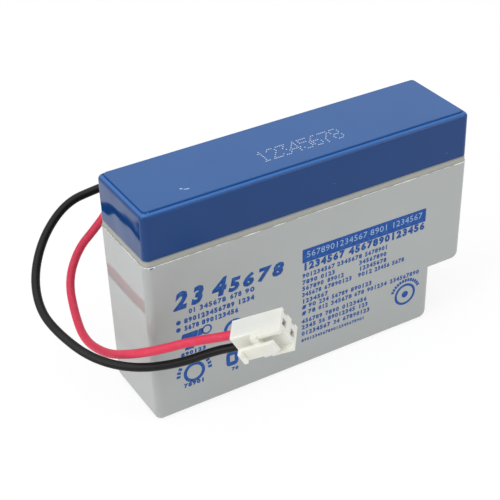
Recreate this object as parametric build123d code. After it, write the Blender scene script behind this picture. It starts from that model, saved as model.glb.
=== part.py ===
"""Small sealed lead acid battery: six cells in a stepped jar, a welded lid and two leads with a plug.

The origin is the middle of the flat underside. +X runs along the length, +Y to the back where the
leads come out, +Z up. All sizes are in millimetres.
"""
from build123d import *
import os
from math import pi, radians, tan

# Jar
JAR_LENGTH = 96.0            # at the widest place, just under the lid
JAR_WIDTH = 25.0
HEIGHT = 62.2                # overall, to the face of the top plate
JAR_WALL = 1.7
JAR_FLOOR = 1.8
JAR_DRAFT = 0.53             # degrees, walls lean in towards the base
JAR_EDGE_R = 1.8             # upright corners and the edges round the underside
CELLS = 6
PARTITION = 1.2
STEP_LENGTH = 10.2           # the lower body ends this far short of the jar's right end
STEP_Z = 16.35               # underside of the overhang
STEP_CORNER_R = 2.5

# Band and tongue above the shoulder, where the plain walls end
BAND_INSET = 0.2
BAND_HEIGHT = 1.2
BAND_SLOPE_HEIGHT = 0.65     # from the band to the lid's lower edge
TONGUE_INSET = 0.9
TONGUE_HEIGHT = 1.55

# Lid
LID_INSET = 0.25             # the lid is this much smaller than the jar, all round
LID_HEIGHT = 12.5
LID_CORNER_R = 1.5
LID_EDGE_R = 1.25
LID_WALL = 1.9
DECK = 1.2
WELD_GAP = 0.05              # between the jar's tongue and the lid's skirt

# Top plate
PLATE_PROUD = 0.45           # above the lid's rim
PLATE_THICK = 1.5
PLATE_INSET = 1.3            # from the lid's side
PLATE_GROOVE = 0.35
PLATE_CORNER_R = 1.0
PLATE_EDGE_R = 0.15

# Vent posts and valve caps
VENT_SHARE = 0.3             # part of the free room across the lid that lies in front of the caps
CAP_WALL = 1.0
CAP_TOP = 1.2
CAP_SKIRT_GAP = 1.0          # from the deck to the cap's lower edge
CAP_FIT = 0.05
HOLD_DOWN_GAP = 0.1
HOLD_DOWN_HEIGHT = 1.8       # pads under the top plate, one over each cap

# Plates
POSITIVE_THICK = 2.0
NEGATIVE_THICK = 1.3
LUG_HEIGHT = 3.1
PLATE_SIDE_GAP = 0.4         # from the plates to the jar wall, at the floor
STACK_GAP = 0.3              # free room in a cell along the stack
MAT_FOLD = 0.6               # thickness of the mat squeezed under the plates
MAT_OVER = 1.0               # the mat stands this much above the plates
LUG_WIDTH = 4.0
LUG_INSET = 3.7              # from the plates' upright edge to the middle of the lug
STRAP_HEIGHT = 2.5
STRAP_WIDTH = 4.4
STRAP_END_GAP = 1.0          # from a strap's end to the partition

# Links over the partitions
LINK_WIDTH = 3.0
LINK_HEIGHT = 2.5
LINK_UNDER_DECK = 1.3        # from the link's top to the lid's deck
LINK_FOOT = 1.6
LINK_FOOT_HEIGHT = 1.5
LINK_SLOT_GAP = 0.2

# Terminal posts, wells and tabs
POST_R = 1.6
POST_HOLE_GAP = 0.1
WELL_R = 2.7
WELL_WALL = 0.6
WELL_HEIGHT = 2.375
ORING_SECTION_R = 0.5
TAB_CLEAR = 0.1              # from the tab's end to the red lead where it slopes down
TAB_WIDTH = 2.6
TAB_THICK = 0.5

# Leads
LEAD_D = 2.25
LEAD_HOLE_D = 2.5
LEAD_GAP = 0.95              # between the two leads where they pass between the first two caps
LEAD_TO_CAP = 0.54
LEAD_ABOVE_DECK = 0.275      # where the leads pass through the lid's rear wall
LEAD_LEVEL_Y = 6.5           # inside the lid, the leads slope down to the exit height until here
INNER_RED_BEND_R = 2.2
INNER_BLACK_BEND_R = 9.0
INNER_SLOPE_BEND_R = 11.5

# Plug: its own X runs from the wires to the mating face, +Y to the red wire, +Z out of the lever face
PLUG_FROM_END = 15.5         # its rear face, from the jar's left end
PLUG_Y = -29.0
PLUG_Z = 31.0
PLUG_AXIS = (0.653, -0.625, 0.428)
PLUG_LEVER_SIDE = (-0.586, -0.775, -0.237)
PLUG_LENGTH = 13.4
PLUG_WIDTH = 7.9
PLUG_BACK_Z = -3.2
PLUG_FACE_Z = 2.6
PLUG_PITCH = 3.96
PLUG_EDGE_R = 0.3
CHAMBER_WIDTH = 2.8
CHAMBER_HEIGHT = 3.4
NOSE_WALL = 0.8
PIN_HOLE_WIDTH = 1.8
PIN_HOLE_HEIGHT = 2.0
PIN_HOLE_LIFT = 0.6          # from the chamber's middle towards the lever
RAIL_START = 7.2
RAIL_WIDTH = 1.1
RAIL_RISE = 1.4
NOSE_NOTCH_WIDTH = 1.9
NOSE_NOTCH_LENGTH = 0.8
NOSE_NOTCH_DEPTH = 1.0
LEVER_WIDTH = 3.6
LEVER_START = 1.4
LEVER_END = 10.8
LEVER_GAP = 1.75
LEVER_ARM_THICK = 0.95
LEVER_THUMB_RISE = 1.0       # over the arm
LEVER_THUMB_LENGTH = 1.0
LEVER_HINGE_AT = 5.5
LEVER_HINGE_LENGTH = 1.7
HINGE_WEB_DROP = 0.3         # the hinge's side webs stop this far under the arm
WIRE_IN_PLUG = 1.5
CONTACT_WALL = 0.25
CONTACT_FIT = 0.1
CONTACT_BOX_LENGTH = 6.5
CONTACT_BOX_START = 5.4
CONTACT_BARREL_R = 0.8

lead_r = LEAD_D / 2
slope = tan(radians(JAR_DRAFT))
lid_rim_z = HEIGHT - PLATE_PROUD
lid_bottom_z = lid_rim_z - LID_HEIGHT
band_top_z = lid_bottom_z - BAND_SLOPE_HEIGHT
jar_shoulder_z = band_top_z - BAND_HEIGHT
tongue_top_z = lid_bottom_z + TONGUE_HEIGHT
link_z = tongue_top_z - LINK_UNDER_DECK - LINK_HEIGHT
strap_z = link_z - LINK_FOOT_HEIGHT - STRAP_HEIGHT
left_end = -JAR_LENGTH / 2
skirt_wall = TONGUE_INSET - LID_INSET - WELD_GAP


def draft_inset(z):
    """How far a wall has leaned in at height z."""
    return slope * (jar_shoulder_z - z)


jar_half_floor = JAR_LENGTH / 2 - draft_inset(JAR_FLOOR) - JAR_WALL
jar_half_depth_floor = JAR_WIDTH / 2 - draft_inset(JAR_FLOOR) - JAR_WALL
step_x = JAR_LENGTH / 2 - STEP_LENGTH
cells_right = step_x - slope * STEP_Z - JAR_WALL
cell_pitch = (cells_right + jar_half_floor + PARTITION) / CELLS
cell_width = cell_pitch - PARTITION
cell_x = [-jar_half_floor + cell_width / 2 + i * cell_pitch for i in range(CELLS)]
partition_x = [x + cell_pitch / 2 for x in cell_x[:-1]]
deck_top = tongue_top_z + DECK
plate_half = jar_half_depth_floor - PLATE_SIDE_GAP
group_y = plate_half - LUG_INSET
lid_length = JAR_LENGTH - 2 * LID_INSET
lid_width = JAR_WIDTH - 2 * LID_INSET
plate_under = HEIGHT - PLATE_THICK
cap_r = (cell_pitch - 2 * LEAD_D - LEAD_GAP - 2 * LEAD_TO_CAP) / 2
vent_r = cap_r - CAP_WALL - CAP_FIT
well_side = WELL_R + WELL_WALL - group_y
free_room = lid_width / 2 - LID_WALL - well_side - 2 * cap_r
vent_y = well_side + VENT_SHARE * free_room + cap_r
vent_bore_r = vent_r / 2
lane_step = (LEAD_D + LEAD_GAP) / 2
red_exit_x = partition_x[0] - lane_step
black_exit_x = partition_x[0] + lane_step
tab_reach = cell_pitch / 2 - lane_step - lead_r - TAB_CLEAR
lead_exit_z = deck_top + LEAD_ABOVE_DECK + lead_r
cap_top = plate_under - HOLD_DOWN_HEIGHT - HOLD_DOWN_GAP
vent_top = cap_top - CAP_TOP
well_top = deck_top + WELL_HEIGHT
tab_top = well_top + TAB_THICK
lead_z = tab_top + lead_r
positive_side = [-1 if i % 2 == 0 else 1 for i in range(CELLS)]
post_y = -group_y


def rounded_block(length, width, radius, z0, z1, taper=0.0):
    """Upright block with rounded corners from z0 to z1, its outline taken at z0."""
    outline = Pos(0, 0, z0) * RectangleRounded(length, width, radius)
    return extrude(outline, amount=z1 - z0, taper=taper)


def box_between(x0, x1, y0, y1, z0, z1):
    return Pos((x0 + x1) / 2, (y0 + y1) / 2, (z0 + z1) / 2) * Box(x1 - x0, y1 - y0, z1 - z0)


def rod(x, y, radius, z0, z1):
    return Pos(x, y, (z0 + z1) / 2) * Cylinder(radius, z1 - z0)


def edges_near(shape, axis, value, room=0.02):
    """Edges that lie wholly at one value along an axis."""
    low = shape.edges().filter_by(lambda e: abs(getattr(e.bounding_box().min, axis) - value) < room)
    return ShapeList([e for e in low if abs(getattr(e.bounding_box().max, axis) - value) < room])


def drafted_block(x0, x1, z0):
    """Block under the shoulder whose walls lean in as they go down; x0 and x1 hold at the shoulder."""
    outline = Pos((x0 + x1) / 2, 0, jar_shoulder_z) * Rectangle(x1 - x0, JAR_WIDTH)
    return extrude(outline, amount=z0 - jar_shoulder_z, taper=JAR_DRAFT)


def round_lower_edges(block, z0):
    """Large radius under the right end, then the smaller one down the corners and round the base."""
    right_end = edges_near(block, "Z", z0).filter_by(Axis.Y).sort_by(Axis.X)[-1:]
    block = fillet(right_end, STEP_CORNER_R)
    top = edges_near(block, "Z", jar_shoulder_z)
    rest = [e for e in block.edges() if e not in top and e.geom_type != GeomType.LINE
            or abs(e.center().Z - jar_shoulder_z) > 1]
    keep = [e for e in rest if not (e.bounding_box().size.Y > JAR_WIDTH / 2
                                    and e.center().X > block.bounding_box().center().X)]
    return fillet(keep, JAR_EDGE_R)


def jar_outside():
    """Main body down to the base, and the overhang over the step beside it."""
    half = JAR_LENGTH / 2
    main = round_lower_edges(drafted_block(-half, step_x + draft_inset(STEP_Z), 0), 0)
    overhang = round_lower_edges(drafted_block(0, half, STEP_Z), STEP_Z)
    overhang -= box_between(-1, step_x - 3 * JAR_EDGE_R, -half, half, 0, half)
    return main + overhang


def jar_top():
    """Set-back band, sloped shoulder and the tongue that the lid is welded to."""
    band = rounded_block(JAR_LENGTH - 2 * BAND_INSET, JAR_WIDTH - 2 * BAND_INSET,
                         JAR_EDGE_R - BAND_INSET, jar_shoulder_z, band_top_z)
    rise = lid_bottom_z - band_top_z
    shoulder = loft([
        Pos(0, 0, band_top_z) * RectangleRounded(
            JAR_LENGTH - 2 * BAND_INSET, JAR_WIDTH - 2 * BAND_INSET, JAR_EDGE_R - BAND_INSET),
        Pos(0, 0, band_top_z + rise) * RectangleRounded(
            JAR_LENGTH - 2 * TONGUE_INSET, JAR_WIDTH - 2 * TONGUE_INSET, JAR_EDGE_R - TONGUE_INSET)])
    tongue = rounded_block(JAR_LENGTH - 2 * TONGUE_INSET, JAR_WIDTH - 2 * TONGUE_INSET,
                           JAR_EDGE_R - TONGUE_INSET, lid_bottom_z, tongue_top_z)
    return band + shoulder + tongue


def jar_pockets():
    """Room for the six cells and the dry pocket over the step."""
    inner_top = tongue_top_z
    grow = draft_inset(inner_top)
    inside = extrude(
        Pos(0, 0, inner_top) * RectangleRounded(
            JAR_LENGTH - 2 * (JAR_WALL + grow), JAR_WIDTH - 2 * (JAR_WALL + grow), 0.6),
        amount=JAR_FLOOR - inner_top, taper=JAR_DRAFT)
    for x in partition_x:
        inside -= box_between(x - PARTITION / 2, x + PARTITION / 2, -JAR_WIDTH, JAR_WIDTH, 0, inner_top)
    inside -= box_between(cells_right, step_x, -JAR_WIDTH, JAR_WIDTH, 0, inner_top)
    inside -= box_between(cells_right, JAR_LENGTH, -JAR_WIDTH, JAR_WIDTH, 0, STEP_Z + JAR_WALL)
    return inside


def link_side(i):
    """The link after cell i joins its negative strap to the next cell's positive strap."""
    return -positive_side[i]


def make_container():
    jar = jar_outside() + jar_top() - jar_pockets()
    for i, x in enumerate(partition_x):
        y = link_side(i) * group_y
        half = LINK_WIDTH / 2 + LINK_SLOT_GAP
        jar -= box_between(x - PARTITION, x + PARTITION, y - half, y + half, link_z, tongue_top_z + 1)
    return jar


def lead_hole(x):
    return Pos(x, lid_width / 2, lead_exit_z) * Rot(90, 0, 0) * Cylinder(LEAD_HOLE_D / 2, 4 * LID_WALL)


def make_lid():
    """Tray lid: rounded rim, ledge for the top plate, deck with vent posts, wells and link plugs."""
    lid = rounded_block(lid_length, lid_width, LID_CORNER_R, lid_bottom_z, lid_rim_z)
    lid = fillet(edges_near(lid, "Z", lid_rim_z), LID_EDGE_R)
    seat = PLATE_INSET - PLATE_GROOVE
    lid -= rounded_block(lid_length - 2 * seat, lid_width - 2 * seat, PLATE_CORNER_R, plate_under,
                         lid_rim_z + 1)
    lid -= rounded_block(lid_length - 2 * LID_WALL, lid_width - 2 * LID_WALL, PLATE_CORNER_R, deck_top,
                         plate_under)
    lid -= rounded_block(lid_length - 2 * skirt_wall, lid_width - 2 * skirt_wall,
                         LID_CORNER_R - skirt_wall, lid_bottom_z, tongue_top_z)
    for x in cell_x:
        lid += rod(x, vent_y, vent_r, deck_top, vent_top)
        lid -= rod(x, vent_y, vent_bore_r, tongue_top_z, vent_top)
    for x in (cell_x[0], cell_x[-1]):
        lid += rod(x, post_y, WELL_R + WELL_WALL, deck_top, well_top)
        lid -= rod(x, post_y, WELL_R, deck_top, well_top)
        lid -= rod(x, post_y, POST_R + POST_HOLE_GAP, tongue_top_z, deck_top)
    for i, x in enumerate(partition_x):
        y = link_side(i) * group_y
        half = LINK_WIDTH / 2
        lid += box_between(x - PARTITION / 2, x + PARTITION / 2, y - half, y + half,
                           link_z + LINK_HEIGHT, tongue_top_z)
    for x in (red_exit_x, black_exit_x):
        lid -= lead_hole(x)
    return lid


def make_top_plate():
    """Flat cover plate with a pad under it over each valve cap."""
    plate = rounded_block(lid_length - 2 * PLATE_INSET, lid_width - 2 * PLATE_INSET, PLATE_CORNER_R,
                          plate_under, HEIGHT)
    plate = fillet(edges_near(plate, "Z", HEIGHT), PLATE_EDGE_R)
    for x in cell_x:
        plate += rod(x, vent_y, vent_r, plate_under - HOLD_DOWN_HEIGHT, plate_under)
    return plate


def make_valve_cap(x):
    low = deck_top + CAP_SKIRT_GAP
    cap = rod(x, vent_y, cap_r, low, cap_top)
    cap = fillet(edges_near(cap, "Z", cap_top), CAP_WALL / 3)
    return cap - rod(x, vent_y, vent_r + CAP_FIT, low, vent_top)


mat_thick = (cell_width - STACK_GAP - 3 * NEGATIVE_THICK - 2 * POSITIVE_THICK) / 4
positive_at = [-1, 1]
negative_at = [-1, 0, 1]
positive_step = NEGATIVE_THICK / 2 + mat_thick + POSITIVE_THICK / 2
negative_step = 2 * positive_step
strap_half = cell_width / 2 - STRAP_END_GAP
plate_base_z = JAR_FLOOR + MAT_FOLD
plates_top = strap_z - LUG_HEIGHT


def plate_with_lug(x, thick, lug_y):
    plate = box_between(x - thick / 2, x + thick / 2, -plate_half, plate_half, plate_base_z, plates_top)
    return plate + box_between(x - thick / 2, x + thick / 2, lug_y - LUG_WIDTH / 2,
                               lug_y + LUG_WIDTH / 2, plates_top, strap_z)


def strap(x, y):
    bar = box_between(x - strap_half, x + strap_half, y - STRAP_WIDTH / 2, y + STRAP_WIDTH / 2,
                      strap_z, strap_z + STRAP_HEIGHT)
    return chamfer(edges_near(bar, "Z", strap_z + STRAP_HEIGHT), STRAP_HEIGHT / 8)


def make_group(i, side, places, step, thick):
    """Plates of one polarity in cell i, burned to their cast strap."""
    y = side * group_y
    group = strap(cell_x[i], y)
    for place in places:
        group += plate_with_lug(cell_x[i] + place * step, thick, y)
    return group


def make_separator(i, place):
    """One sheet of glass mat folded under a positive plate and up both its faces."""
    mat_half = plate_half + PLATE_SIDE_GAP / 2
    x = cell_x[i] + place * positive_step
    outer = POSITIVE_THICK / 2 + mat_thick
    sheet = box_between(x - outer, x + outer, -mat_half, mat_half, JAR_FLOOR, plates_top + MAT_OVER)
    return sheet - box_between(x - POSITIVE_THICK / 2, x + POSITIVE_THICK / 2, -mat_half, mat_half,
                               plate_base_z, plates_top + MAT_OVER)


def make_link(i):
    """Cast bridge from one strap to the next, through the slot in the partition."""
    x = partition_x[i]
    y = link_side(i) * group_y
    reach = PARTITION / 2 + STRAP_END_GAP + LINK_FOOT
    bar = box_between(x - reach, x + reach, y - LINK_WIDTH / 2, y + LINK_WIDTH / 2, link_z,
                      link_z + LINK_HEIGHT)
    for side in (-1, 1):
        foot = x + side * (reach - LINK_FOOT / 2)
        bar += box_between(foot - LINK_FOOT / 2, foot + LINK_FOOT / 2, y - LINK_WIDTH / 2,
                           y + LINK_WIDTH / 2, strap_z + STRAP_HEIGHT, link_z)
    return bar


def make_post(x):
    base = strap_z + STRAP_HEIGHT
    foot = rod(x, post_y, 1.3 * POST_R, base, base + POST_R)
    return foot + rod(x, post_y, POST_R, base, well_top)


def make_oring(x):
    return Pos(x, post_y, deck_top + ORING_SECTION_R) * Torus(POST_R + ORING_SECTION_R, ORING_SECTION_R)


def make_post_seal(x):
    low = deck_top + 2 * ORING_SECTION_R
    return rod(x, post_y, WELL_R, low, well_top) - rod(x, post_y, POST_R, low, well_top)


def make_tab(x, side):
    """Brass strip soldered on the post, its free end under the wire."""
    end = x + side * tab_reach
    strip = box_between(min(x, end), max(x, end), post_y - TAB_WIDTH / 2, post_y + TAB_WIDTH / 2,
                        well_top, tab_top)
    return strip + rod(x, post_y, TAB_WIDTH / 2, well_top, tab_top)


def tube(points, radii):
    """Round wire along straight runs joined by arcs."""
    path = FilletPolyline(*points, radius=radii)
    section = Plane(origin=path @ 0, z_dir=path % 0) * Circle(lead_r)
    return sweep(section, path=path)


def inner_points(start, exit_x):
    """From the tab along the lid's front side, then down and back to the hole in the rear wall."""
    return [(start, post_y, lead_z), (exit_x, post_y, lead_z), (exit_x, LEAD_LEVEL_Y, lead_exit_z),
            (exit_x, lid_width / 2, lead_exit_z)]


PLUG = Plane(origin=(left_end + PLUG_FROM_END, PLUG_Y, PLUG_Z), x_dir=PLUG_AXIS, z_dir=PLUG_LEVER_SIDE)
chamber_z = (PLUG_BACK_Z + PLUG_FACE_Z) / 2
chamber_y = {"red": PLUG_PITCH / 2, "black": -PLUG_PITCH / 2}


def in_plug(shape):
    return PLUG.location * shape


def in_chamber(x, colour):
    """Point on a chamber's middle line, x from the plug's rear face."""
    return tuple(PLUG.from_local_coords((x, chamber_y[colour], chamber_z)))


# Route of each free lead, from its hole in the lid's back wall round the left end and into the plug
BLACK_ROUTE = [
    (black_exit_x, lid_width / 2, lead_exit_z), (black_exit_x, lid_width / 2 + 5.5, lead_exit_z),
    (left_end + 16.0, 23.25, 51.5), (left_end + 12.75, 28.0, 48.25), (left_end + 6.75, 30.75, 45.75),
    (left_end - 1.75, 30.25, 44.5), (left_end - 10.25, 25.5, 40.0), (left_end - 16.5, 19.0, 33.75),
    (left_end - 18.0, 10.75, 29.5), (left_end - 18.0, 2.75, 26.25), (left_end - 13.75, -6.25, 23.25),
    (left_end - 6.25, -14.25, 21.75), (left_end + 2.75, -19.75, 22.75), (left_end + 10.75, -24.0, 26.25),
    in_chamber(WIRE_IN_PLUG - 4.0, "black"), in_chamber(WIRE_IN_PLUG, "black")]
RED_ROUTE = [
    (red_exit_x, lid_width / 2, lead_exit_z), (red_exit_x, lid_width / 2 + 4.5, lead_exit_z),
    (left_end + 12.75, 21.5, 51.75), (left_end + 10.5, 25.75, 47.25), (left_end + 8.0, 27.75, 41.0),
    (left_end + 5.0, 27.75, 36.25), (left_end - 0.25, 27.25, 32.0), (left_end - 5.75, 23.0, 26.25),
    (left_end - 8.25, 15.25, 21.25), (left_end - 10.0, 5.75, 19.0), (left_end - 8.25, -3.75, 20.5),
    (left_end - 5.5, -11.75, 24.5), (left_end - 1.0, -18.25, 27.75), (left_end + 6.5, -22.75, 30.5),
    in_chamber(WIRE_IN_PLUG - 3.4, "red"), in_chamber(WIRE_IN_PLUG, "red")]


def bend_radii(route):
    """Each arc takes 0.45 of the shorter run beside it."""
    points = [Vector(*p) for p in route]
    runs = [b - a for a, b in zip(points, points[1:])]
    radii = []
    for before, after in zip(runs, runs[1:]):
        turn = radians(before.get_angle(after))
        radii.append(0.45 * min(before.length, after.length) / tan(turn / 2))
    return radii


def make_lead(route):
    return tube(route, bend_radii(route))


def plug_block(x0, x1, y0, y1, z0, z1):
    return box_between(x0, x1, y0, y1, z0, z1)


def plug_body():
    """Block with two chambers, rails beside the lever's nose end and a notched, pierced nose."""
    half = PLUG_WIDTH / 2
    body = plug_block(0, PLUG_LENGTH, -half, half, PLUG_BACK_Z, PLUG_FACE_Z)
    body = fillet(body.edges().filter_by(Axis.X), PLUG_EDGE_R)
    for side in (-1, 1):
        edge = side * half
        inner = edge - side * RAIL_WIDTH
        rail = plug_block(RAIL_START, PLUG_LENGTH, min(edge, inner), max(edge, inner),
                          PLUG_FACE_Z - PLUG_EDGE_R, PLUG_FACE_Z + RAIL_RISE)
        top_start = edges_near(rail, "X", RAIL_START).filter_by(Axis.Y).sort_by(Axis.Z)[-1:]
        body += chamfer(top_start, PLUG_EDGE_R)
    for y in chamber_y.values():
        body -= plug_block(0, PLUG_LENGTH - NOSE_WALL, y - CHAMBER_WIDTH / 2, y + CHAMBER_WIDTH / 2,
                           chamber_z - CHAMBER_HEIGHT / 2, chamber_z + CHAMBER_HEIGHT / 2)
        hole_z = chamber_z + PIN_HOLE_LIFT
        body -= plug_block(PLUG_LENGTH - NOSE_WALL, PLUG_LENGTH, y - PIN_HOLE_WIDTH / 2,
                           y + PIN_HOLE_WIDTH / 2, hole_z - PIN_HOLE_HEIGHT / 2,
                           hole_z + PIN_HOLE_HEIGHT / 2)
        body -= plug_block(PLUG_LENGTH - NOSE_NOTCH_LENGTH, PLUG_LENGTH, y - NOSE_NOTCH_WIDTH / 2,
                           y + NOSE_NOTCH_WIDTH / 2, PLUG_BACK_Z, PLUG_BACK_Z + NOSE_NOTCH_DEPTH)
    return body


def plug_lever():
    """Rocking lever: thumb piece over the wires, arm, sloped hook, and a hinge web to both sides."""
    low = PLUG_FACE_Z + LEVER_GAP
    top = low + LEVER_ARM_THICK
    side_view = make_face(Polyline(
        (LEVER_START, low), (LEVER_START, top + LEVER_THUMB_RISE),
        (LEVER_START + LEVER_THUMB_LENGTH, top + LEVER_THUMB_RISE),
        (LEVER_START + LEVER_THUMB_LENGTH, top), (LEVER_END - LEVER_ARM_THICK, top),
        (LEVER_END, low + LEVER_ARM_THICK / 3), (LEVER_END, low), close=True))
    lever = extrude(Plane.XZ * side_view, amount=LEVER_WIDTH / 2, both=True)
    hinge_end = LEVER_HINGE_AT + LEVER_HINGE_LENGTH
    post = plug_block(LEVER_HINGE_AT, hinge_end, -LEVER_WIDTH / 2, LEVER_WIDTH / 2,
                      PLUG_FACE_Z - PLUG_EDGE_R, low)
    web_half = PLUG_WIDTH / 2 - PLUG_EDGE_R
    web = plug_block(LEVER_HINGE_AT, hinge_end, -web_half, web_half, PLUG_FACE_Z - PLUG_EDGE_R,
                     low - HINGE_WEB_DROP)
    return lever + post + web


def make_plug():
    return in_plug(plug_body() + plug_lever())


def make_contact(colour):
    """Folded socket box, neck and crimp barrel in one chamber, butted on the wire's end."""
    y = chamber_y[colour]
    half_w = CHAMBER_WIDTH / 2 - CONTACT_FIT
    half_h = CHAMBER_HEIGHT / 2 - CONTACT_FIT
    x1 = CONTACT_BOX_START + CONTACT_BOX_LENGTH
    box = plug_block(CONTACT_BOX_START, x1, y - half_w, y + half_w, chamber_z - half_h, chamber_z + half_h)
    box -= plug_block(CONTACT_BOX_START + CONTACT_WALL, x1, y - half_w + CONTACT_WALL,
                      y + half_w - CONTACT_WALL, chamber_z - half_h + CONTACT_WALL,
                      chamber_z + half_h - CONTACT_WALL)
    barrel_length = CONTACT_BOX_START - WIRE_IN_PLUG
    barrel = Pos(WIRE_IN_PLUG + barrel_length / 2, y, chamber_z) * Rot(0, 90, 0) * Cylinder(
        CONTACT_BARREL_R, barrel_length)
    return in_plug(box + barrel)


def nodes():
    made = {"container": make_container(), "lid": make_lid(), "top_plate": make_top_plate()}
    for i in range(CELLS):
        n = i + 1
        made[f"positive_group_{n}"] = make_group(i, positive_side[i], positive_at, positive_step,
                                                 POSITIVE_THICK)
        made[f"negative_group_{n}"] = make_group(i, -positive_side[i], negative_at, negative_step,
                                                 NEGATIVE_THICK)
        for place, side in zip(positive_at, ("left", "right")):
            made[f"separator_{n}_{side}"] = make_separator(i, place)
        made[f"valve_cap_{n}"] = make_valve_cap(cell_x[i])
    for i in range(CELLS - 1):
        made[f"intercell_link_{i + 1}"] = make_link(i)
    for name, x, side in (("positive", cell_x[0], 1), ("negative", cell_x[-1], -1)):
        made[f"terminal_post_{name}"] = make_post(x)
        made[f"post_oring_{name}"] = make_oring(x)
        made[f"post_seal_{name}"] = make_post_seal(x)
        made[f"solder_tab_{name}"] = make_tab(x, side)
    made["lead_red_inner"] = tube(inner_points(cell_x[0] + TAB_WIDTH / 2, red_exit_x),
                                  [INNER_RED_BEND_R, INNER_SLOPE_BEND_R])
    made["lead_black_inner"] = tube(inner_points(cell_x[-1] - TAB_WIDTH / 2, black_exit_x),
                                    [INNER_BLACK_BEND_R, INNER_SLOPE_BEND_R])
    made["lead_red"] = make_lead(RED_ROUTE)
    made["lead_black"] = make_lead(BLACK_ROUTE)
    made["connector_housing"] = make_plug()
    made["contact_red"] = make_contact("red")
    made["contact_black"] = make_contact("black")
    return made


os.makedirs("parts", exist_ok=True)
for lead, route in (("red", RED_ROUTE), ("black", BLACK_ROUTE)):
    wire = make_lead(route)
    print(lead, "bend radii", [round(r, 1) for r in bend_radii(route)])
    print(lead, "volume over section", round(wire.volume / (pi * lead_r ** 2), 2),
          "length", round(FilletPolyline(*route, radius=bend_radii(route)).length, 2))
for name, shape in nodes().items():
    export_step(shape, f"parts/{name}.step")
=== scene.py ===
"""Looks of a small sealed lead acid battery: jar, lid, leads and plug, on a pale floor in soft light."""
import math

import bpy
from mathutils import Matrix, Vector


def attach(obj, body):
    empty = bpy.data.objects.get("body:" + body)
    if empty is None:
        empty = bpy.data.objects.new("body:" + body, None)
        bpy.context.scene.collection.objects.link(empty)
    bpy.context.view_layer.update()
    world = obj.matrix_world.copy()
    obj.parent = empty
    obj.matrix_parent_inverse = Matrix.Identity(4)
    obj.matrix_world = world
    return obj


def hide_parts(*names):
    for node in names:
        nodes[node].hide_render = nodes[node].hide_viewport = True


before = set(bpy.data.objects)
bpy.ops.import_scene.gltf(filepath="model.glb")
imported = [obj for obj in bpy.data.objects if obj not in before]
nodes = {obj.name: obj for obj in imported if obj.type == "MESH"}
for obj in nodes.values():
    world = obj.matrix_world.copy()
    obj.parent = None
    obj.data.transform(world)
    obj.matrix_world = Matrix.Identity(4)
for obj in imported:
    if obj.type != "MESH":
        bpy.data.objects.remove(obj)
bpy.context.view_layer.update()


# Camera: a long lens held front left of the battery and above it. The lens gives the photograph's
# flat perspective, and the small shifts put the battery where the photograph's crop has it.
view = bpy.data.cameras.new("camera")
view.lens = 94.72
view.sensor_width = 36.0
view.shift_x = 0.0019
view.shift_y = 0.0085
view.clip_start = 0.01
camera = bpy.data.objects.new("camera", view)
camera.location = (-0.15336, -0.2479, 0.2205)
camera.rotation_euler = (math.radians(56.570), math.radians(1.473), math.radians(-30.573))
bpy.context.collection.objects.link(camera)
bpy.context.scene.camera = camera
bpy.context.scene.view_settings.view_transform = "Standard"


# Free leads: stranded copper wire, 2.25 mm over its PVC insulation. They leave the back of the lid,
# bend stiffly round the left end and hold the plug clear in front.
def linear(colour):
    """sRGB hex to the linear values that a shader takes."""
    parts = [int(colour[i:i + 2], 16) / 255 for i in (1, 3, 5)]
    return tuple(p / 12.92 if p <= 0.04045 else ((p + 0.055) / 1.055) ** 2.4 for p in parts) + (1.0,)


def add_node(tree, kind, inputs=None, **settings):
    """Adds a node, sets its settings, and sets or links its inputs by name or number. In a Map Range
    1 and 2 are the values from, 3 and 4 the values to; in a Mix 0 is the share, 6 and 7 are the colours."""
    node = tree.nodes.new(kind)
    for name, value in settings.items():
        setattr(node, name, value)
    for name, value in (inputs or {}).items():
        if isinstance(value, bpy.types.NodeSocket):
            tree.links.new(value, node.inputs[name])
        else:
            node.inputs[name].default_value = value
    return node


def new_material(name, colour, roughness, ior=1.5, metallic=0.0):
    """Makes a material and returns it with its tree, its main shader and the place on the piece."""
    material = bpy.data.materials.new(name)
    material.use_nodes = True
    tree = material.node_tree
    shader = tree.nodes["Principled BSDF"]
    shader.inputs["Base Color"].default_value = linear(colour)
    shader.inputs["Roughness"].default_value = roughness
    shader.inputs["IOR"].default_value = ior
    shader.inputs["Metallic"].default_value = metallic
    return material, tree, shader, add_node(tree, "ShaderNodeTexCoord").outputs["Object"]


def two_tones(tree, shader, place, scale, detail, colour, second, span=None, most=1.0):
    """Colours the shader in patches of two tones and returns that colour and the noise behind it. The
    scale is patches per metre, so 500 makes them 2 mm wide. A span of the noise's values sharpens
    them, and the second tone's share has a limit."""
    noise = add_node(tree, "ShaderNodeTexNoise", {"Vector": place, "Scale": scale, "Detail": detail})
    share = noise.outputs[0]
    if span:
        spread = add_node(tree, "ShaderNodeMapRange", {"Value": share, 1: span[0], 2: span[1], 4: most})
        share = spread.outputs[0]
    tones = add_node(tree, "ShaderNodeMix", {0: share, 6: linear(colour), 7: linear(second)},
                     data_type="RGBA")
    tree.links.new(tones.outputs[2], shader.inputs["Base Color"])
    return tones.outputs[2], noise.outputs[0]


def fine_grain(tree, shader, place, scale, strength, **under):
    """Fine grain in the surface, over any relief given as the normal. The strength is a share of 0.1 mm
    and the scale is grains per metre: 0.4 to 0.7 mm each, coarser than the real ones, so they show."""
    grain = add_node(tree, "ShaderNodeTexNoise", {"Vector": place, "Scale": scale, "Detail": 2.0})
    bump = add_node(tree, "ShaderNodeBump", {"Height": grain.outputs[0], "Strength": strength,
                                             "Distance": 0.0001, **under})
    tree.links.new(bump.outputs[0], shader.inputs["Normal"])


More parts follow.
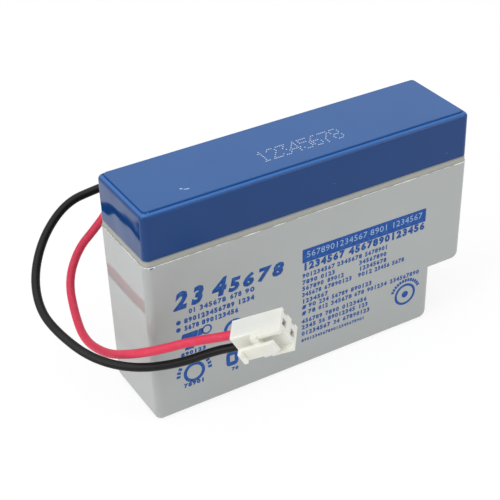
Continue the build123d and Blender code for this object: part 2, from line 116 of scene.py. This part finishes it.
def extruded_pvc(name, colour, dust_colour):
    """Soft PVC insulation, extruded: a dull gloss, with handling dust and a very fine grain."""
    material, tree, shader, place = new_material(name, colour, 0.42, ior=1.32)
    two_tones(tree, shader, place, 650.0, 4.0, colour, dust_colour, span=(0.52, 0.78), most=0.45)
    fine_grain(tree, shader, place, 1400.0, 0.15)
    return material


def lead_wire(name, route, insulation):
    """One free lead along its route, whose points are given in millimetres."""
    curve = bpy.data.curves.new(name, "CURVE")
    curve.dimensions = "3D"
    line = curve.splines.new("NURBS")
    line.points.add(len(route) - 1)
    for point, (x, y, z) in zip(line.points, route):
        point.co = (x / 1000, y / 1000, z / 1000, 1.0)
    line.order_u = 3
    line.use_endpoint_u = True
    line.resolution_u = 12
    curve.bevel_depth = 0.00225 / 2
    curve.bevel_resolution = 6
    curve.use_fill_caps = True
    wire = bpy.data.objects.new(name, curve)
    bpy.context.collection.objects.link(wire)
    wire.data.materials.append(insulation)
    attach(wire, "root")
    return wire


red_pvc = extruded_pvc("red_extruded_pvc", "#de3c58", "#e25c76")
black_pvc = extruded_pvc("black_extruded_pvc", "#060607", "#1a1b1c")
black_lead = lead_wire("black_lead", [
    (-31.04, 12.25, 53.4), (-31.04, 17.75, 53.4), (-31.8, 23.1, 51.4), (-34.9, 27.8, 48.1),
    (-40.8, 30.6, 45.9), (-49.4, 30.3, 44.9), (-58.15, 26.05, 40.1), (-64, 20.6, 33.05),
    (-66.25, 13.3, 27.55), (-65.2, 5.05, 24.95), (-61.25, -5.55, 22.2), (-54, -14.2, 21.6),
    (-44.4, -20, 23.05), (-36.5, -24.2, 26.5), (-33.19, -27.59, 28.34), (-30.57, -30.09, 30.05)],
    black_pvc)
red_lead = lead_wire("red_lead", [
    (-34.24, 12.25, 53.4), (-34.24, 16.75, 53.4), (-35, 21.2, 51.45), (-37.05, 25.15, 46.65),
    (-39.65, 27.15, 40.3), (-43.3, 27.95, 35.85), (-48.45, 28.15, 31.25), (-53.45, 24.6, 25.2),
    (-55.8, 16.75, 20.2), (-57.55, 7.1, 18.05), (-56.1, -3, 19.75), (-53.7, -11.45, 24.1),
    (-49.35, -18.05, 27.8), (-41.75, -22.65, 30.5), (-34.6, -27.4, 32.2), (-32.4, -29.5, 33.6)], red_pvc)
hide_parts("lead_black")
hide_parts("lead_red")


def coat(material, *names):
    """Gives CAD nodes a material in place of their plain one."""
    for name in names:
        nodes[name].data.materials.clear()
        nodes[name].data.materials.append(material)


coat(red_pvc, "lead_red_inner")
coat(black_pvc, "lead_black_inner")


# Jar: one injection moulding in light grey ABS, with the slow waves that shrinkage leaves. Its ends
# keep the polish of the steel mould and mirror the leads, and handling has dulled the long walls. The
# band under the lid is a darker, warmer grey, and dull.
def moulded_abs(name, colour, cloud_colour, walls, ends, ior):
    """Moulded ABS: faint flow clouds and sink waves 12 mm long. The long walls and the ends each have
    their own roughness and depth of waves: the ends keep the mould's polish, the walls are handled."""
    material, tree, shader, place = new_material(name, colour, walls[0], ior=ior)
    clouded = two_tones(tree, shader, place, 70.0, 5.0, colour, cloud_colour)[0]
    wall_stops = 0.0462
    end_starts = 0.0476
    along = add_node(tree, "ShaderNodeSeparateXYZ", {0: place}).outputs["X"]
    out = add_node(tree, "ShaderNodeMath", {0: along}, operation="ABSOLUTE")
    corner = {"Value": out.outputs[0], 1: wall_stops, 2: end_starts}
    gloss = add_node(tree, "ShaderNodeMapRange", {**corner, 3: walls[0], 4: ends[0]})
    depth = add_node(tree, "ShaderNodeMapRange", {**corner, 3: walls[1], 4: ends[1]})
    tree.links.new(gloss.outputs[0], shader.inputs["Roughness"])
    waves = add_node(tree, "ShaderNodeTexNoise", {"Vector": place, "Scale": 80.0, "Detail": 1.0})
    sinks = add_node(tree, "ShaderNodeBump", {"Height": waves.outputs[0], "Strength": depth.outputs[0],
                                              "Distance": 0.001})
    fine_grain(tree, shader, place, 2500.0, 0.04, Normal=sinks.outputs[0])
    return material, tree, shader, place, clouded


def above(tree, place, foot, top):
    """Rises from 0 at the foot's height to 1 at the top's."""
    height = add_node(tree, "ShaderNodeSeparateXYZ", {0: place}).outputs["Z"]
    return add_node(tree, "ShaderNodeMapRange", {"Value": height, 1: foot, 2: top}).outputs[0]


jar_abs, tree, shader, place, grey = moulded_abs("grey_moulded_abs", "#b4b8b7", "#aeb2b1",
                                                walls=(0.25, 0.03), ends=(0.02, 0.015), ior=1.5)
band = above(tree, place, foot=0.04735, top=0.04750)
# The band from 47.4 mm up to the lid is mixed to a darker, warmer grey and made rougher.
darker_band = add_node(tree, "ShaderNodeMix", {0: band, 6: grey, 7: linear("#a8a9a2")}, data_type="RGBA")
tree.links.new(darker_band.outputs[2], shader.inputs["Base Color"])
gloss = shader.inputs["Roughness"].links[0].from_socket
dull = add_node(tree, "ShaderNodeMapRange", {"Value": band, 3: gloss, 4: 0.5})
tree.links.new(dull.outputs[0], shader.inputs["Roughness"])
coat(jar_abs, "container")


# Flash round the jar's shoulder: the thin ragged fin that the mould leaves at its parting line. Its
# colour is a painted highlight: near white in patches, so that it shows as a broken pale line.
def rounded_loop(name, length, width, height, corner, radius, sides, cuts=0):
    """Thin closed bead along a level rounded rectangle; cuts divide its runs so that they can be bent."""
    bpy.ops.object.select_all(action="DESELECT")
    bpy.ops.mesh.primitive_plane_add(size=1.0, location=(0, 0, height))
    bead = bpy.context.object
    bead.name = name
    bead.scale = (length, width, 1.0)
    bpy.ops.object.transform_apply(location=True, rotation=True, scale=True)
    bpy.ops.object.mode_set(mode="EDIT")
    bpy.ops.mesh.bevel(offset=corner, segments=6, affect="VERTICES")
    bpy.ops.mesh.delete(type="ONLY_FACE")
    if cuts:
        bpy.ops.mesh.select_all(action="SELECT")
        bpy.ops.mesh.subdivide(number_cuts=cuts)
    bpy.ops.object.mode_set(mode="OBJECT")
    bpy.ops.object.convert(target="CURVE")
    bead = bpy.context.object
    bead.data.bevel_depth = radius
    bead.data.bevel_resolution = sides
    bpy.ops.object.convert(target="MESH")
    return bpy.context.object


# Painted highlight: the grey fin is coloured near white in patches.
flash_painted_highlight, tree, shader, place = new_material("abs_flash_painted_highlight", "#eceeea", 0.45, ior=1.45)
two_tones(tree, shader, place, 500.0, 2.0, "#b9bcb8", "#f2f3f0", span=(0.35, 0.55))
flash = rounded_loop("shoulder_flash", 0.0959, 0.0249, 0.04744, corner=0.0018, radius=0.00011, sides=1,
                     cuts=60)
ragged = bpy.data.textures.new("ragged", "CLOUDS")
ragged.noise_scale = 0.0035
shift = flash.modifiers.new("ragged", "DISPLACE")
shift.texture = ragged
shift.texture_coords = "LOCAL"
shift.strength = 0.00030
shift.mid_level = 0.56
bpy.ops.object.modifier_apply(modifier="ragged")
flash.data.materials.append(flash_painted_highlight)
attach(flash, "root")


# Fleck on the shoulder by the left corner: a small dark blue spot,
# with a pale ring round it.
bpy.ops.object.select_all(action="DESELECT")
bpy.ops.mesh.primitive_uv_sphere_add(segments=16, ring_count=8, radius=0.001,
                                     location=(-0.0462, -0.01252, 0.0473))
fleck = bpy.context.object
fleck.name = "shoulder_fleck"
fleck.scale = (1.0, 0.12, 0.3)
bpy.ops.object.transform_apply(location=True, rotation=True, scale=True)
spot_and_ring, tree, shader, place = new_material("abs_blue_spot_pale_ring", "#dfe5ec", 0.5)
from_spot = add_node(tree, "ShaderNodeVectorMath", {0: place, 1: (-0.0463, -0.0127, 0.04725)},
                      operation="SUBTRACT")
squeezed = add_node(tree, "ShaderNodeVectorMath", {0: from_spot.outputs[0], 1: (1.0, 1.0, 3.0)},
                    operation="MULTIPLY")
reach = add_node(tree, "ShaderNodeVectorMath", {0: squeezed.outputs[0]}, operation="LENGTH")
past_spot = add_node(tree, "ShaderNodeMapRange", {"Value": reach.outputs["Value"], 1: 0.0005, 2: 0.0007})
tone = add_node(tree, "ShaderNodeMix",
                {0: past_spot.outputs[0], 6: linear("#1f3a78"), 7: linear("#e9edf2")}, data_type="RGBA")
tree.links.new(tone.outputs[2], shader.inputs["Base Color"])
fleck.data.materials.append(spot_and_ring)
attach(fleck, "root")


# Front print: one blue ink, screen printed on the finished jar a touch out of level, 0.03 mm thick.
# It is made of rows of plain running numerals, a title line of larger slanted ones, and plain rings,
# bars and fields.
film_thickness = 0.00003


def raise_film():
    """Closes the flat shape into a film that stands out to the front."""
    bpy.ops.mesh.select_all(action="SELECT")
    bpy.ops.mesh.extrude_region_move(TRANSFORM_OT_translate={"value": (0, -film_thickness, 0)})
    bpy.ops.mesh.select_all(action="SELECT")
    bpy.ops.mesh.normals_make_consistent(inside=False)
    bpy.ops.object.mode_set(mode="OBJECT")


def flat_block(width, corner, stroke=0.0):
    """Rounded upright block, 1 mm high, its foot at zero; with a stroke it is a hollow frame."""
    bpy.ops.object.select_all(action="DESELECT")
    bpy.ops.mesh.primitive_plane_add(size=0.001, location=(0, 0, 0.0005), rotation=(math.pi / 2, 0, 0))
    block = bpy.context.object
    block.scale = (width, 1, 1)
    bpy.ops.object.transform_apply(location=True, rotation=True, scale=True)
    bpy.ops.object.mode_set(mode="EDIT")
    bpy.ops.mesh.bevel(offset=corner / 1000, segments=2, affect="VERTICES")
    if stroke:
        bpy.ops.mesh.select_all(action="SELECT")
        bpy.ops.mesh.inset(thickness=stroke / 1000)
        bpy.ops.mesh.delete(type="FACE")
    raise_film()
    return block


def numerals(weight):
    """The ten plain numerals, each 1 mm high with its foot at zero. The text starts about 1 high, so
    the weight that thickens its strokes is a share of the height."""
    made = []
    for digit in range(10):
        bpy.ops.object.select_all(action="DESELECT")
        bpy.ops.object.text_add(rotation=(math.pi / 2, 0, 0))
        text = bpy.context.object.data
        text.body = str(digit)
        text.align_x = "CENTER"
        text.size = 1.36
        text.offset = weight
        text.resolution_u = 2
        bpy.ops.object.convert(target="MESH")
        numeral = bpy.context.object
        heights = [corner[1] for corner in numeral.bound_box]
        numeral.scale = [0.001 / (max(heights) - min(heights))] * 3
        numeral.location.z = -min(heights) * numeral.scale[2]
        bpy.ops.object.transform_apply(location=True, rotation=True, scale=True)
        bpy.ops.object.mode_set(mode="EDIT")
        bpy.ops.mesh.select_all(action="SELECT")
        bpy.ops.mesh.remove_doubles(threshold=0.000002)
        bpy.ops.mesh.beautify_fill(angle_limit=math.pi)
        bpy.ops.mesh.dissolve_limited(angle_limit=math.radians(4))
        raise_film()
        made.append(numeral)
    return made


def ring(radius, stroke):
    """Round flat ring about the middle, radius and stroke in millimetres; a disc without a stroke."""
    bpy.ops.object.select_all(action="DESELECT")
    bpy.ops.mesh.primitive_circle_add(vertices=32, radius=radius / 1000, fill_type="NGON",
                                      rotation=(math.pi / 2, 0, 0))
    shape = bpy.context.object
    bpy.ops.object.transform_apply(location=True, rotation=True, scale=True)
    bpy.ops.object.mode_set(mode="EDIT")
    if stroke:
        bpy.ops.mesh.inset(thickness=stroke / 1000)
        bpy.ops.mesh.delete(type="FACE")
    raise_film()
    return shape


def place_copy(shape, x, z, wide=1.0, tall=1.0, slant=0.0, turn=0.0, lift=0.0):
    """Own copy of a flat shape, stretched, slanted and turned, with its foot at x, z in millimetres."""
    copy = bpy.data.objects.new(shape.name + "_copy", shape.data.copy())
    bpy.context.collection.objects.link(copy)
    stretch = Matrix(((wide, 0, slant * tall, 0), (0, 1, 0, 0), (0, 0, tall, 0), (0, 0, 0, 1)))
    where = Matrix.Translation((x / 1000, -lift / 1000, z / 1000))
    copy.data.transform(where @ Matrix.Rotation(turn, 4, "Y") @ stretch)
    return copy


def print_row(base, high, words, digits, pitch=1.0, lift=0.0):
    """One printed line on its base, in millimetres: each word is given by its two ends and filled with
    numerals that count on. The pitch is a numeral's step over its height."""
    middle = 0.47
    width = 1.3
    made = []
    for n, (x0, x1) in enumerate(words):
        count = max(1, round((x1 - x0) / (high * pitch)))
        step = (x1 - x0) / count
        first = 3 * n + round(base)
        for i in range(count):
            x = x0 + (i + middle) * step
            made.append(place_copy(digits[(i + first) % 10], x, base, step * width, high, lift=lift))
    return made


def bars_round(x, z, radius, angles, wide, tall):
    """Short bars round a centre, like the hours on a dial, at the given degrees from its top."""
    made = []
    for degrees in angles:
        turn = math.radians(degrees)
        made.append(place_copy(bar_block, x + radius * math.sin(turn), z + radius * math.cos(turn),
                               wide, tall, turn=turn))
    return made


frame_block = flat_block(0.90, 0.24, stroke=0.28)
bar_block = flat_block(0.36, 0.06)
solid_block = flat_block(1.0, 0.1)
bold = numerals(0.08)
medium = numerals(0.06)
fine = numerals(0.0)
ink = print_row(30.85, 2.35, [(-3.9, 9.1), (10.3, 35.0)], bold, pitch=0.82)
for base, words in [
        (28.65, [(-4.0, 6.1), (6.7, 14.7), (15.5, 23.0)]),
        (26.6, [(-4.0, 0.8), (1.7, 6.3), (13.7, 22.7)]),
        (24.65, [(-4.0, 2.8), (3.8, 9.1), (13.8, 22.8)]),
        (22.7, [(-4.0, 2.1), (2.9, 11.7), (13.5, 18.2), (18.9, 23.9), (24.6, 28.7)]),
        (20.6, [(-4.0, 4.2)]),
        (18.8, [(-2.0, 0.5), (1.3, 4.5), (5.3, 10.6), (11.4, 18.3)]),
        (16.8, [(-2.1, 0.4), (1.2, 4.3), (5.1, 11.9), (12.6, 15.9), (16.7, 23.3), (24.2, 34.1)]),
        (14.15, [(-4.0, 2.6), (3.4, 7.9), (8.8, 16.9)]),
        (12.25, [(-4.0, 0.6), (1.4, 3.5), (4.3, 13.2), (14.1, 17.3)]),
        (10.15, [(-4.0, 5.2), (6.1, 8.2), (9.1, 18.0)])]:
    ink += print_row(base - 0.05, 1.4, words, medium, pitch=0.79)
ink += print_row(8.05, 1.0, [(-4.0, 16.3)], medium, pitch=0.85)
for base in (18.8, 16.8):
    ink.append(place_copy(solid_block, -3.45, base, 1.1, 1.2, slant=0.3))
header_block = flat_block(9.46, 0.03)
ink.append(place_copy(header_block, 15.5, 33.3, 4.12, 4.12))

# Left half: the large slanted line, six small ones, two dots, and plain rings and blocks. A slanted
# numeral's foot is set back by a share of its height, so that its middle is in its place.
set_back = 0.12
fill = 1.35
for digit, x0, x1, high in [
        (2, -40.8, -36.9, 5.4), (3, -36.1, -32.4, 5.4), (4, -30.2, -26.0, 5.4), (5, -25.6, -22.1, 4.1),
        (6, -21.7, -17.9, 4.1), (7, -17.4, -13.6, 4.1), (8, -13.0, -9.4, 4.1)]:
    foot = (x0 + x1) / 2 - set_back * high
    ink.append(place_copy(bold[digit], foot, 32.15, (x1 - x0) * fill, high, slant=0.22))
ink += print_row(30.05, 1.55, [(-37.1, -34.9), (-34.1, -26.4), (-25.4, -21.9), (-21.1, -18.1)], medium,
                 pitch=0.81)
ink += print_row(27.55, 1.55, [(-38.5, -24.0), (-23.2, -18.2)], bold, pitch=0.77)
ink += print_row(25.3, 1.55, [(-38.5, -34.2), (-33.6, -22.9)], bold, pitch=0.77)
dot = ring(0.66, 0.0)
ink += [place_copy(dot, -40.05, 28.4), place_copy(dot, -40.15, 26.2)]
ink += print_row(17.5, 1.25, [(-39.8, -32.5)], bold, pitch=0.9)
ink += print_row(7.4, 1.35, [(-39.4, -33.2)], bold, pitch=0.9)
ink += print_row(7.3, 1.1, [(-25.4, -23.2)], medium, pitch=0.9)
for x, base, wide, high in ((-37.6, 21.0, 4.6, 3.4), (-34.2, 22.4, 1.4, 2.0), (-37.3, 19.2, 2.6, 1.3)):
    ink.append(place_copy(solid_block, x, base, wide, high, slant=0.2))
ink.append(place_copy(frame_block, -25.1, 9.1, 4.0, 4.6))
small_ring = ring(1.45, 0.45)
large_ring = ring(3.1, 0.95)
end_ring = ring(3.45, 0.75)
dial_left = (-36.2, 11.6)
dial_right = (29.65, 11.35)
ink += [place_copy(small_ring, -32.2, 23.5), place_copy(large_ring, *dial_left),
        place_copy(large_ring, -24.3, 20.6), place_copy(end_ring, *dial_right)]
ink.append(place_copy(dot, *dial_right, 1.6, 1.6))
ink += bars_round(*dial_right, 4.15, range(-66, 67, 11), 1.9, 0.95)
ink += bars_round(*dial_left, 4.0, (-90, -75, -60, 60, 75, 90), 2.2, 1.1)
reversed_out = print_row(34.7, 1.8, [(-2.8, 16.1), (16.9, 22.9), (23.8, 33.9)], fine, pitch=0.84,
                         lift=0.02)


def joined(name, shapes, material):
    """One object made of the shapes, all in the one material."""
    bpy.ops.object.select_all(action="DESELECT")
    for shape in shapes:
        shape.select_set(True)
    bpy.context.view_layer.objects.active = shapes[0]
    bpy.ops.object.join()
    whole = bpy.context.object
    whole.name = name
    whole.data.materials.clear()
    whole.data.materials.append(material)
    return whole


def join_on_wall(name, shapes, material):
    """Joins the flat shapes, turns them out of level, and lays them on the leaning front wall."""
    sheet = joined(name, shapes, material)
    middle = Vector((-0.004, 0, 0.033))
    level = (Matrix.Translation(middle) @ Matrix.Rotation(math.radians(0.65), 4, "Y")
             @ Matrix.Translation(-middle))
    wall_top = 0.0474
    lean = (Matrix.Translation((0, -0.01249, wall_top)) @ Matrix.Rotation(math.radians(0.53), 4, "X")
            @ Matrix.Translation((0, 0, -wall_top)))
    sheet.data.transform(lean @ level)
    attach(sheet, "root")


def printed_ink(name, colour, thin_colour):
    """Printed ink on ABS: satin, in patches a little thinner and greyer."""
    material, tree, shader, place = new_material(name, colour, 0.5, ior=1.36)
    two_tones(tree, shader, place, 900.0, 3.0, colour, thin_colour, span=(0.45, 0.75))
    return material


blue_ink = printed_ink("blue_screen_ink", "#0b4a9a", "#2a62ac")
bare_ink = printed_ink("bare_jar_through_ink", "#9db6d8", "#86a3cb")
join_on_wall("front_print", ink, blue_ink)
join_on_wall("front_print_reversed", reversed_out, bare_ink)
for shape in (frame_block, bar_block, solid_block, header_block, dot, small_ring, large_ring, end_ring,
              *bold, *medium, *fine):
    bpy.data.objects.remove(shape)


# Lid and top plate: blue ABS mouldings, the lid hot-welded to the jar and the plate set into it.
# The lid's ends keep the mould's polish. Its rim carries a painted highlight, a lighter blue over
# all above 61.2 mm, and the top is duller from handling, with a few pale dust specks.
lid_abs, tree, shader, place, blue = moulded_abs("blue_moulded_abs", "#0e407d", "#0c3b76",
                                                walls=(0.3, 0.04), ends=(0.05, 0.4), ior=1.36)
# Painted highlight: above 61.2 mm, over the rim, the lid's blue is mixed to a lighter blue.
rim_highlight_share = above(tree, place, foot=0.06122, top=0.06150)
rim_painted_highlight = add_node(tree, "ShaderNodeMix", {0: rim_highlight_share, 6: blue, 7: linear("#386eb4")}, data_type="RGBA")


def dust_specks(tree, place, base, shader, colour, per_metre):
    """Few pale specks of dust, 0.1 to 0.5 mm wide, over a base colour."""
    cells = add_node(tree, "ShaderNodeTexVoronoi", {"Vector": place, "Scale": per_metre})
    core = 0.018
    edge = 0.04
    speck = add_node(tree, "ShaderNodeMapRange",
                     {"Value": cells.outputs["Distance"], 1: core, 2: edge, 3: 1.0, 4: 0.0})
    dusty = add_node(tree, "ShaderNodeMix", {0: speck.outputs[0], 6: base, 7: linear(colour)},
                     data_type="RGBA")
    tree.links.new(dusty.outputs[2], shader.inputs["Base Color"])


dust_specks(tree, place, rim_painted_highlight.outputs[2], shader, "#7f9cc9", 210.0)
coat(lid_abs, "lid")
# Painted light: the top plate's blue is painted lighter than the lid's, standing in for the brighter light
# on the upward face.
top_abs_painted_lighter, tree, shader, place, blue = moulded_abs("blue_moulded_abs_top_painted_lighter", "#2f62a2", "#2a5b9b",
                                                walls=(0.38, 0.03), ends=(0.38, 0.03), ior=1.4)
dust_specks(tree, place, blue, shader, "#a9bedd", 150.0)
coat(top_abs_painted_lighter, "top_plate")


# Cement in the groove round the top plate: the plate is glued in, and the bead stands just under
# the rim. It is the same blue, and it keeps the groove to a fine dark line.
cement = rounded_loop("plate_cement", 0.0933, 0.0223, 0.0614, corner=0.00115, radius=0.00022, sides=2)
cement.data.materials.append(lid_abs)
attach(cement, "root")


# Row of numerals on the top plate: eight counting numbers in pale ink-jet dots, each seven dots high.
# They sit just on the skin, in the middle of the plate.
digit_rows = {
    1: "..#.. .##.. ..#.. ..#.. ..#.. ..#.. .###.",
    2: ".###. #...# ....# ...#. ..#.. .#... #####",
    3: "##### ...#. ..#.. ...#. ....# #...# .###.",
    4: "...#. ..##. .#.#. #..#. ##### ...#. ...#.",
    5: "##### #.... ####. ....# ....# #...# .###.",
    6: "..##. .#... #.... ####. #...# #...# .###.",
    7: "##### ....# ...#. ..#.. .#... .#... .#...",
    8: ".###. #...# #...# .###. #...# #...# .###."}
bpy.ops.object.select_all(action="DESELECT")
bpy.ops.mesh.primitive_circle_add(vertices=8, radius=0.00021, fill_type="NGON")
ink_dot = bpy.context.object
bpy.ops.object.mode_set(mode="EDIT")
bpy.ops.mesh.extrude_region_move(TRANSFORM_OT_translate={"value": (0, 0, 0.00003)})
bpy.ops.transform.resize(value=(0.7, 0.7, 1))
bpy.ops.mesh.select_all(action="SELECT")
bpy.ops.mesh.normals_make_consistent(inside=False)
bpy.ops.object.mode_set(mode="OBJECT")
digit_step = 0.00308
column_step = 0.00058
row_step = 0.00080
dots = []
for n, rows in digit_rows.items():
    for r, row in enumerate(rows.split()):
        for c, mark in enumerate(row):
            if mark == "#":
                copy = bpy.data.objects.new("ink_dot_copy", ink_dot.data.copy())
                bpy.context.collection.objects.link(copy)
                copy.data.transform(Matrix.Translation(
                    (-0.0109 + digit_step * (n - 1) + column_step * c, -0.0012 - row_step * r, 0.06219)))
                dots.append(copy)
bpy.data.objects.remove(ink_dot)
pale_ink = printed_ink("pale_jet_ink", "#e4ebf6", "#c2d0e6")
date_code = joined("date_code", dots, pale_ink)
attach(date_code, "root")


# Scar on the top plate: a dab and a longer nick beside it, where something hard caught the plastic
# and stressed it pale.
nicks = []
for x, y, length, width, turn in (
        (-0.0341, -0.0063, 0.0008, 0.00045, -33), (-0.0330, -0.0071, 0.0016, 0.00035, -13)):
    bpy.ops.object.select_all(action="DESELECT")
    bpy.ops.mesh.primitive_uv_sphere_add(segments=16, ring_count=8, radius=0.5, location=(x, y, 0.0622),
                                         rotation=(0, 0, math.radians(turn)))
    nicks.append(bpy.context.object)
    nicks[-1].scale = (length, width, 0.0001)
    bpy.ops.object.transform_apply(location=True, rotation=True, scale=True)
scar_abs, tree, shader, place = new_material("stressed_blue_abs", "#b9d3f3", 0.5)
two_tones(tree, shader, place, 3000.0, 3.0, "#c6dcf6", "#acc9ef")
scar = joined("top_scar", nicks, scar_abs)
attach(scar, "root")


# Inside: cast lead grids with dark brown or grey paste, white glass mats between them, lead straps,
# links and posts. The glass mat is felted from fine glass fibre, so it is matt and fuzzy. The castings
# are a dull grey metal with a grainy skin.
def rough_solid(name, colour, second, roughness, scale, depth, metallic=0.0):
    """Pasted, felted or cast surface: two near tones in patches, with relief of the given depth."""
    material, tree, shader, place = new_material(name, colour, roughness, metallic=metallic)
    tone, patches = two_tones(tree, shader, place, scale, 6.0, colour, second)
    bump = add_node(tree, "ShaderNodeBump", {"Height": patches, "Strength": 0.4, "Distance": depth})
    tree.links.new(bump.outputs[0], shader.inputs["Normal"])
    return material


positive_paste = rough_solid("lead_dioxide_paste", "#3a2a22", "#4c382c", 0.85, 600.0, 0.0002)
negative_paste = rough_solid("spongy_lead_paste", "#6d7073", "#7f8285", 0.8, 600.0, 0.0002)
glass_mat = rough_solid("felted_glass_mat", "#eeeee9", "#dfdfd8", 0.95, 1500.0, 0.0002)
cast_lead = rough_solid("cast_lead", "#8d9196", "#74787d", 0.45, 300.0, 0.0001, metallic=1.0)
for n in range(1, 7):
    coat(positive_paste, f"positive_group_{n}")
    coat(negative_paste, f"negative_group_{n}")
    coat(glass_mat, f"separator_{n}_left", f"separator_{n}_right")
for n in range(1, 6):
    coat(cast_lead, f"intercell_link_{n}")
coat(cast_lead, "terminal_post_positive", "terminal_post_negative")


# Caps, seals and tabs: black rubber caps pressed over the vent posts, rubber rings and cast resin
# round the posts, and tinned brass tabs soldered on them. The rubber is matt, the resin glossy, and
# the tin has a pale soft shine.
moulded_rubber = rough_solid("moulded_rubber", "#1d1e1f", "#292a2b", 0.7, 900.0, 0.0001)
red_resin = rough_solid("red_cast_resin", "#b3232b", "#a01d26", 0.2, 200.0, 0.0001)
black_resin = rough_solid("black_cast_resin", "#141516", "#1e2022", 0.2, 200.0, 0.0001)
tinned_brass = rough_solid("tinned_brass", "#c9c8c2", "#b9b7ae", 0.3, 500.0, 0.00005, metallic=1.0)
for n in range(1, 7):
    coat(moulded_rubber, f"valve_cap_{n}")
coat(moulded_rubber, "post_oring_positive", "post_oring_negative")
coat(red_resin, "post_seal_positive")
coat(black_resin, "post_seal_negative")
coat(tinned_brass, "solder_tab_positive", "solder_tab_negative")


# Plug: two-way housing in natural white nylon, moulded with thin walls that let a little light
# through, over two tinned bronze contacts stamped and folded from strip.
nylon, tree, shader, place = new_material("natural_moulded_nylon", "#e8e8e0", 0.45, ior=1.53)
shader.inputs["Subsurface Weight"].default_value = 0.6
shader.inputs["Subsurface Radius"].default_value = (1.0, 0.9, 0.65)
shader.inputs["Subsurface Scale"].default_value = 0.0014
two_tones(tree, shader, place, 300.0, 3.0, "#f0f0e8", "#e9e9df")
fine_grain(tree, shader, place, 1800.0, 0.06)
coat(nylon, "connector_housing")
tinned = rough_solid("tinned_bronze", "#dddcd8", "#cfcfca", 0.4, 900.0, 0.00003, metallic=1.0)
coat(tinned, "contact_red", "contact_black")


# Floor and light: a white floor under a large soft box above, smaller ones at the left and the front
# right, and an even white room. To the camera and in gloss the floor is mostly its own white, and
# keeps a faint shadow.
def seen_rays(tree):
    """1 for the camera's rays and those that gloss or glass sends on, 0 for light on the object."""
    rays = add_node(tree, "ShaderNodeLightPath").outputs
    seen = add_node(tree, "ShaderNodeMath", {0: rays["Is Camera Ray"], 1: rays["Is Glossy Ray"]},
                    operation="MAXIMUM")
    seen = add_node(tree, "ShaderNodeMath", {0: seen.outputs[0], 1: rays["Is Transmission Ray"]},
                    operation="MAXIMUM")
    return seen.outputs[0]


floor_shade, tree, shader, place = new_material("white_floor", "#f4f4f4", 0.9)
shader.inputs["Specular IOR Level"].default_value = 0.0
own_white = 0.78
share = add_node(tree, "ShaderNodeMath", {0: seen_rays(tree), 1: own_white}, operation="MULTIPLY")
white = add_node(tree, "ShaderNodeEmission", {"Color": linear("#ffffff"), "Strength": 1.07})
mixed = add_node(tree, "ShaderNodeMixShader",
                 {0: share.outputs[0], 1: shader.outputs[0], 2: white.outputs[0]})
tree.links.new(mixed.outputs[0], tree.nodes["Material Output"].inputs["Surface"])
bpy.ops.mesh.primitive_plane_add(size=6.0, location=(0, 0, 0))
floor = bpy.context.object
floor.name = "floor"
floor.data.materials.append(floor_shade)


def soft_box(name, place, size, power):
    """Square area lamp that faces the middle of the battery."""
    lamp = bpy.data.lights.new(name, "AREA")
    lamp.size = size
    lamp.energy = power
    box = bpy.data.objects.new(name, lamp)
    box.location = place
    box.rotation_euler = (Vector((0, 0, 0.03)) - Vector(place)).to_track_quat("-Z", "Y").to_euler()
    bpy.context.collection.objects.link(box)


soft_box("top_light", (-0.25, -0.05, 0.9), 1.0, 3.9)
soft_box("left_light", (-0.9, -0.1, 0.45), 0.6, 3.2)
soft_box("front_light", (0.50, -0.62, 0.37), 0.45, 1.55)
world = bpy.data.worlds.new("white_room")
bpy.context.scene.world = world
world.use_nodes = True
tree = world.node_tree
light_on_object = 0.42
strength = add_node(tree, "ShaderNodeMapRange", {"Value": seen_rays(tree), 3: light_on_object, 4: 1.0})
background = tree.nodes["Background"]
background.inputs["Color"].default_value = linear("#ffffff")
tree.links.new(strength.outputs[0], background.inputs["Strength"])
